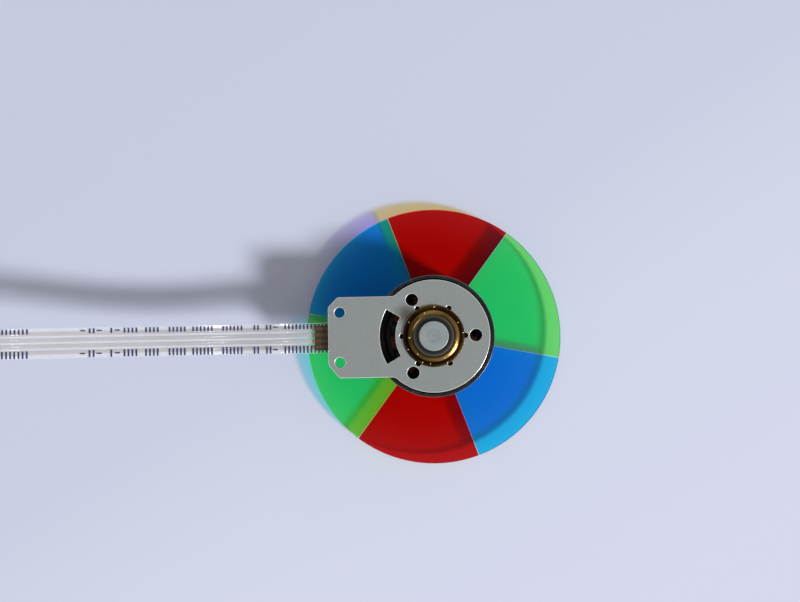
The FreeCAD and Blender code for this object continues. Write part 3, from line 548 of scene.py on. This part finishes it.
def link_piece(name, mesh, material, smooth=False):
    """A piece made from a bmesh, in the scene."""
    data = bpy.data.meshes.new(name)
    mesh.to_mesh(data)
    mesh.free()
    data.materials.append(material)
    for polygon in data.polygons:
        polygon.use_smooth = smooth
    piece = bpy.data.objects.new(name, data)
    bpy.context.scene.collection.objects.link(piece)
    return piece


def bridge(mesh, loops, closed=False):
    """Faces between loops of the same number of points."""
    pairs = list(zip(loops, loops[1:]))
    if closed:
        pairs.append((loops[-1], loops[0]))
    for first, second in pairs:
        for index in range(len(first)):
            following = (index + 1) % len(first)
            mesh.faces.new((first[index], first[following], second[following], second[index]))


def around(angle, radius, across, up):
    """A point at an angle round the motor axis, in millimetres and degrees."""
    turn = math.radians(angle)
    x = radius * math.cos(turn) - across * math.sin(turn)
    y = radius * math.sin(turn) + across * math.cos(turn)
    return Vector((x * MM, y * MM, up * MM))


def rounded(half, low, high, corner, steps=5):
    """Points of a rectangle with round corners, as (across, up)."""
    points = []
    for across, up, first in (
        (half - corner, high - corner, 0),
        (corner - half, high - corner, 90),
        (corner - half, low + corner, 180),
        (half - corner, low + corner, 270),
    ):
        for step in range(steps + 1):
            turn = math.radians(first + 90 * step / steps)
            points.append((across + corner * math.cos(turn), up + corner * math.sin(turn)))
    return points


# The windings: angles in degrees and sizes in millimetres
TOOTH_COUNT = 9
FIRST_TOOTH = 189.0
TOOTH_HALF = 0.67
COIL_START = 4.72
COIL_END = 6.98
COIL_HALF = 1.15
COIL_BUILD = 0.48
COIL_CORNER = 0.34
BORE_CORNER = 0.05
WIRE = 0.15
# What the turns stay inside the solid coils, above and below
COIL_INSET = 0.01


def add_coil(mesh, angle, low, high):
    """Wire wound round one tooth, turn beside turn, from one end of the tooth to the other."""
    loops = []
    turns = round((COIL_END - COIL_START) / WIRE)
    pitch = (COIL_END - COIL_START) / turns
    samples = 6
    # each turn is half a circle across, and the valleys between turns are half a pitch deep
    for index in range(turns * samples + 1):
        away = abs((index % samples) / samples - 0.5) * 2
        sink = 0.5 * pitch * (1 - math.sqrt(max(0.0, 1 - away ** 2)))
        radius = COIL_START + pitch * index / samples
        outline = rounded(COIL_HALF - sink, low + sink, high - sink, COIL_CORNER)
        loops.append([mesh.verts.new(around(angle, radius, *point)) for point in outline])
    bore = rounded(TOOTH_HALF, low + COIL_BUILD, high - COIL_BUILD, BORE_CORNER)
    for radius in (COIL_END, COIL_START):
        loops.append([mesh.verts.new(around(angle, radius, *point)) for point in bore])
    bridge(mesh, loops, closed=True)


coil_low, coil_high = (corner[2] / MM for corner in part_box("stator_coils"))
coil_mesh = bmesh.new()
for number in range(TOOTH_COUNT):
    tooth = FIRST_TOOTH + 360 / TOOTH_COUNT * number
    add_coil(coil_mesh, tooth, coil_low + COIL_INSET, coil_high - COIL_INSET)
bmesh.ops.recalc_face_normals(coil_mesh, faces=coil_mesh.faces)
coils = link_piece("coil_turns", coil_mesh, MATERIALS["stator_coils"])
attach(coils, "motor_base")
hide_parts("stator_coils")

# The M2 threads in the plate, in degrees and millimetres
SCREW_CIRCLE = 6.8
SCREW_ANGLES = (0, 120, 240)
THREAD_OUTER = 1.0
THREAD_DEPTH = 0.14
THREAD_PITCH = 0.4
THREAD_SEAT = 0.03
THREAD_LEAD_IN = 0.12


def add_thread(mesh, angle, low, high):
    """The thread of one tapped hole."""
    sides = 36
    levels = 20
    middle = around(angle, SCREW_CIRCLE, 0, 0)
    loops = []
    for level in range(levels + 1):
        up = low + (high - low) * level / levels
        loop = []
        for side in range(sides):
            phase = (up / THREAD_PITCH - side / sides) % 1.0
            radius = THREAD_OUTER - THREAD_DEPTH * (1 - abs(2 * phase - 1))
            loop.append(mesh.verts.new(middle + around(360 * side / sides, radius, 0, up)))
        loops.append(loop)
    for up in (high, low):
        loop = [
            mesh.verts.new(middle + around(360 * side / sides, THREAD_OUTER + THREAD_SEAT, 0, up))
            for side in range(sides)
        ]
        loops.append(loop)
    bridge(mesh, loops, closed=True)


plate_low, plate_high = (corner[2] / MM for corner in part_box("base_plate"))
thread_mesh = bmesh.new()
for angle in SCREW_ANGLES:
    add_thread(thread_mesh, angle, plate_low + THREAD_SEAT, plate_high - THREAD_LEAD_IN)
bmesh.ops.recalc_face_normals(thread_mesh, faces=thread_mesh.faces)
# the threads take the dark cup metal instead of the plate's steel: painted shade down in the holes
threads = link_piece("screw_threads", thread_mesh, MATERIALS["rotor_yoke"])
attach(threads, "motor_base")

# Small burrs that the staking raised on the rim: three sizes in turn, and where they are as
# (angle, radius, height of the middle), in degrees and millimetres
BURR_SIZES = (0.10, 0.115, 0.13)
BURRS = (
    (5, 4.72, 10.07),
    (28, 4.42, 10.07),
    (88, 4.70, 10.07),
    (111, 3.95, 10.52),
    (150, 4.52, 10.07),
    (183, 3.92, 10.53),
    (207, 4.66, 10.07),
    (227, 3.88, 10.54),
    (246, 4.60, 10.07),
    (262, 4.44, 10.07),
    (295, 3.90, 10.53),
    (296, 4.80, 10.07),
)


def add_burr(mesh, angle, radius, up, size):
    """A small lump that is longest across the rim and lowest upwards."""
    made = bmesh.ops.create_uvsphere(mesh, u_segments=10, v_segments=6, radius=1.0)
    for vertex in made["verts"]:
        outward, sideways, height = vertex.co * size
        vertex.co = around(angle, radius + outward * 1.5, sideways * 0.9, up + height * 0.8)


burr_mesh = bmesh.new()
for index, (angle, radius, up) in enumerate(BURRS):
    add_burr(burr_mesh, angle, radius, up, BURR_SIZES[index % len(BURR_SIZES)])
BRIGHT_BRASS = metal("bright_brass", (0.85, 0.66, 0.36), (0.98, 0.84, 0.58), 0.14)
burrs = link_piece("stake_burrs", burr_mesh, BRIGHT_BRASS, smooth=True)
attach(burrs, "motor_base")


# The flat cable


def cable_line():
    """Points of the smooth line that follows the cable's route."""
    curve = bpy.data.curves.new("cable_route", "CURVE")
    curve.dimensions = "3D"
    curve.resolution_u = 10
    spline = curve.splines.new("NURBS")
    spline.points.add(len(CABLE_ROUTE) - 1)
    for point, (x, z) in zip(spline.points, CABLE_ROUTE):
        point.co = (x * MM, 0.0, z * MM, 1.0)
    spline.order_u = 3
    spline.use_endpoint_u = True
    guide = bpy.data.objects.new("cable_route", curve)
    bpy.context.scene.collection.objects.link(guide)
    bpy.context.view_layer.update()
    mesh = bpy.data.meshes.new_from_object(guide)
    points = [vertex.co.copy() for vertex in mesh.vertices]
    bpy.data.meshes.remove(mesh)
    bpy.data.objects.remove(guide)
    return points


LINE = cable_line()


def line_normals():
    """The upward normal at each point of the cable's line."""
    result = []
    for index in range(len(LINE)):
        along = LINE[min(index + 1, len(LINE) - 1)] - LINE[max(index - 1, 0)]
        result.append(Vector((-along.z, 0.0, along.x)).normalized())
    return [normal if normal.z > 0 else -normal for normal in result]


NORMALS = line_normals()


def beside(point, normal, across, up):
    """A point beside and over one on the line, in millimetres."""
    return point + Vector((0, across * MM, 0)) + normal * up * MM


def sweep(mesh, section, indices):
    """A closed skin that carries a section of (across, up) along part of the line."""
    loops = [
        [mesh.verts.new(beside(LINE[index], NORMALS[index], *corner)) for corner in section]
        for index in indices
    ]
    bridge(mesh, loops)
    mesh.faces.new(list(reversed(loops[0])))
    mesh.faces.new(loops[-1])
    bmesh.ops.recalc_face_normals(mesh, faces=mesh.faces)


# Shares of the cable's thickness above its middle, at the margins and more over a conductor
MARGIN_SHARE = 0.32
SWELL_SHARE = 0.18
SECTION_STEPS = 40


def film_section():
    """The film's outline: thin margins and a low swelling over each conductor."""
    top = []
    for index in range(SECTION_STEPS + 1):
        across = CABLE_WIDTH * (index / SECTION_STEPS - 0.5)
        nearest = min(abs(across - middle) for middle in CONDUCTORS)
        swell = max(0.0, 1.0 - (nearest / 0.5) ** 2)
        top.append((across, CABLE_THICKNESS * (MARGIN_SHARE + SWELL_SHARE * swell)))
    return top + [(across, -up) for across, up in reversed(top)]


film_mesh = bmesh.new()
sweep(film_mesh, film_section(), range(len(LINE)))
film = link_piece("flat_cable_film", film_mesh, cable_film(), smooth=True)

strip_mesh = bmesh.new()
half = CONDUCTOR_WIDTH / 2
thin = CONDUCTOR_THICKNESS / 2
for middle in CONDUCTORS:
    left, right = middle - half, middle + half
    outline = [(left, -thin), (right, -thin), (right, thin), (left, thin)]
    sweep(strip_mesh, outline, range(1, len(LINE) - 1))
strips = link_piece("cable_conductors", strip_mesh, covered_strip())


def place_along(x):
    """The point and normal of the line at an x in millimetres."""
    for index in range(len(LINE) - 1):
        a, b = LINE[index], LINE[index + 1]
        if b.x <= x * MM <= a.x:
            share = (x * MM - a.x) / (b.x - a.x)
            return a.lerp(b, share), NORMALS[index].lerp(NORMALS[index + 1], share)
    return LINE[-1], NORMALS[-1]


# How high the ink lies over the middle of the cable
MARK_HEIGHT = 0.165


def add_mark(mesh, x, length, low, high):
    """A thin plain mark on the film's upper face."""
    corners = []
    for across in (low, high):
        for at in (x, x - length):
            point, normal = place_along(at)
            corners.append(mesh.verts.new(beside(point, normal, across, MARK_HEIGHT)))
    mesh.faces.new((corners[0], corners[1], corners[3], corners[2]))


# Groups of plain ticks along both margins, as (start, end) in millimetres, and plain dashes
TICK_GROUPS = (
    (-17.4, -25.0),
    (-26.7, -27.9),
    (-28.8, -30.3),
    (-31.6, -35.4),
    (-36.6, -40.4),
    (-41.1, -44.1),
    (-45.5, -47.9),
    (-48.9, -51.4),
    (-52.8, -53.2),
    (-55.5, -56.7),
    (-65.5, -73.1),
    (-74.8, -76.0),
    (-79.7, -83.5),
    (-84.7, -88.5),
    (-93.6, -96.0),
    (-97.0, -99.5),
    (-112.0, -119.6),
)
DASHES = (-25.6, -51.6, -54.4, -56.9, -73.8, -99.8, -102.6)
TICK_PITCH = 0.62
# The length of a mark along the cable, and where it starts and ends across each margin
TICK = (0.27, ((-2.4, -1.25), (1.5, 2.3)))
DASH = (0.8, ((-1.9, -1.7), (1.85, 2.05)))


def add_marks(mesh, x, length, margins):
    """The same mark on both margins."""
    for low, high in margins:
        add_mark(mesh, x, length, low, high)


mark_mesh = bmesh.new()
for start, end in TICK_GROUPS:
    for index in range(round((start - end) / TICK_PITCH)):
        add_marks(mark_mesh, start - index * TICK_PITCH, *TICK)
for x in DASHES:
    add_marks(mark_mesh, x, *DASH)
marks = link_piece("cable_marks", mark_mesh, print_ink())

for piece in (film, strips, marks):
    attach(piece, "motor_base")
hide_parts("flat_cable")


# The table, the light and the camera


def table_material():
    """Pale bluish paint, with painted light that makes it a little brighter towards the lower
    right, where the window is.
    """
    material, tree, shader = new_material("pale_table")
    axes = add(tree, "ShaderNodeMapping")
    axes.inputs["Rotation"].default_value = (0.0, 0.0, math.radians(59))
    axes.inputs["Scale"].default_value = (3.5, 3.5, 3.5)
    axes.inputs["Location"].default_value = (0.5, 0.5, 0.5)
    join(tree, place(tree), axes.inputs["Vector"])
    colour = ramp(
        tree,
        split(tree, axes.outputs["Vector"])["X"],
        (0.25, (0.500, 0.530, 0.660)),
        (0.46, (0.530, 0.555, 0.685)),
        (0.54, (0.570, 0.604, 0.716)),
        (0.70, (0.600, 0.612, 0.760)),
    )
    join(tree, colour, shader.inputs["Base Color"])
    shader.inputs["Roughness"].default_value = 0.9
    shader.inputs["Specular IOR Level"].default_value = 0.0
    return material


# Half the table's width, and how far it lies under the part so that the faces don't meet
TABLE_HALF = 1.5
TABLE_DROP = 0.02 * MM

floor_mesh = bmesh.new()
bmesh.ops.create_grid(floor_mesh, x_segments=4, y_segments=4, size=TABLE_HALF)
floor_data = bpy.data.meshes.new("table")
floor_mesh.to_mesh(floor_data)
floor_mesh.free()
floor_data.materials.append(table_material())
table = bpy.data.objects.new("table", floor_data)
table.location = (0, 0, -TABLE_DROP)
bpy.context.scene.collection.objects.link(table)


# Where the window is, from the shadows: 1.53 mm to the left and 0.98 mm up for each mm of height
WINDOW = (1.53, -0.98, 1.0)


def add_sun(name, direction, strength, spread, colour=(1.0, 1.0, 1.0)):
    """A distant lamp that shines from a direction."""
    lamp = bpy.data.lights.new(name, "SUN")
    lamp.energy = strength
    lamp.angle = math.radians(spread)
    lamp.color = colour
    holder = bpy.data.objects.new(name, lamp)
    holder.rotation_euler = Vector(direction).to_track_quat("Z", "Y").to_euler()
    holder.location = Vector(direction).normalized() * 0.5
    bpy.context.scene.collection.objects.link(holder)
    return holder


# The window lights by one lamp, and shines on gloss by a dimmer one in the same place
add_sun("window", WINDOW, 4.6, 10.0, (0.99, 1.0, 1.01)).visible_glossy = False
add_sun("window_shine", WINDOW, 1.6, 24.0).visible_diffuse = False
add_sun("glint", (-0.30, 0.0, 0.95), 0.05, 2.0)


def studio_world():
    """An even pale room, dim overhead and brighter towards the window."""
    world = bpy.data.worlds.new("room")
    world.use_nodes = True
    tree = world.node_tree
    background = tree.nodes["Background"]
    way = add(tree, "ShaderNodeTexCoord").outputs["Generated"]
    room = ramp(
        tree,
        split(tree, way)["Z"],
        (0.0, (0.90, 0.88, 0.84)),
        (0.25, (0.80, 0.78, 0.75)),
        (0.5, (0.34, 0.33, 0.32)),
        (0.978, (0.33, 0.33, 0.33)),
        (0.99, (0.03, 0.03, 0.03)),
    )
    side = add(tree, "ShaderNodeVectorMath", operation="DOT_PRODUCT")
    join(tree, way, side.inputs[0])
    side.inputs[1].default_value = (0.84, -0.54, 0.0)
    glow = add(tree, "ShaderNodeMapRange")
    glow.inputs["To Min"].default_value = 0.75
    glow.inputs["To Max"].default_value = 1.35
    glow.inputs["From Min"].default_value = -1.0
    join(tree, side.outputs["Value"], glow.inputs["Value"])
    light = add(tree, "ShaderNodeVectorMath", operation="SCALE")
    join(tree, room, light.inputs[0])
    join(tree, glow.outputs["Result"], light.inputs["Scale"])
    path = add(tree, "ShaderNodeLightPath")
    pale = add(tree, "ShaderNodeMix", data_type="RGBA")
    join(tree, path.outputs["Is Camera Ray"], pale.inputs["Factor"])
    join(tree, light.outputs["Vector"], pale.inputs[6])
    pale.inputs[7].default_value = (0.66, 0.70, 0.80, 1.0)
    join(tree, pale.outputs[2], background.inputs["Color"])
    background.inputs["Strength"].default_value = 1.0
    bpy.context.scene.world = world


studio_world()

# The photograph's camera, from the outlines of the disc, the plate and the cable
camera_data = bpy.data.cameras.new("camera")
camera_data.lens = 27.95
camera_data.sensor_width = 36.0
camera_data.clip_start = 0.005
camera_data.clip_end = 10.0
camera = bpy.data.objects.new("camera", camera_data)
camera.location = (-1.94 * MM, 1.06 * MM, 110.21 * MM)
camera.rotation_euler = (math.radians(2.63), math.radians(1.98), math.radians(-1.12))
bpy.context.scene.collection.objects.link(camera)
bpy.context.scene.camera = camera
bpy.context.scene.view_settings.view_transform = "Standard"
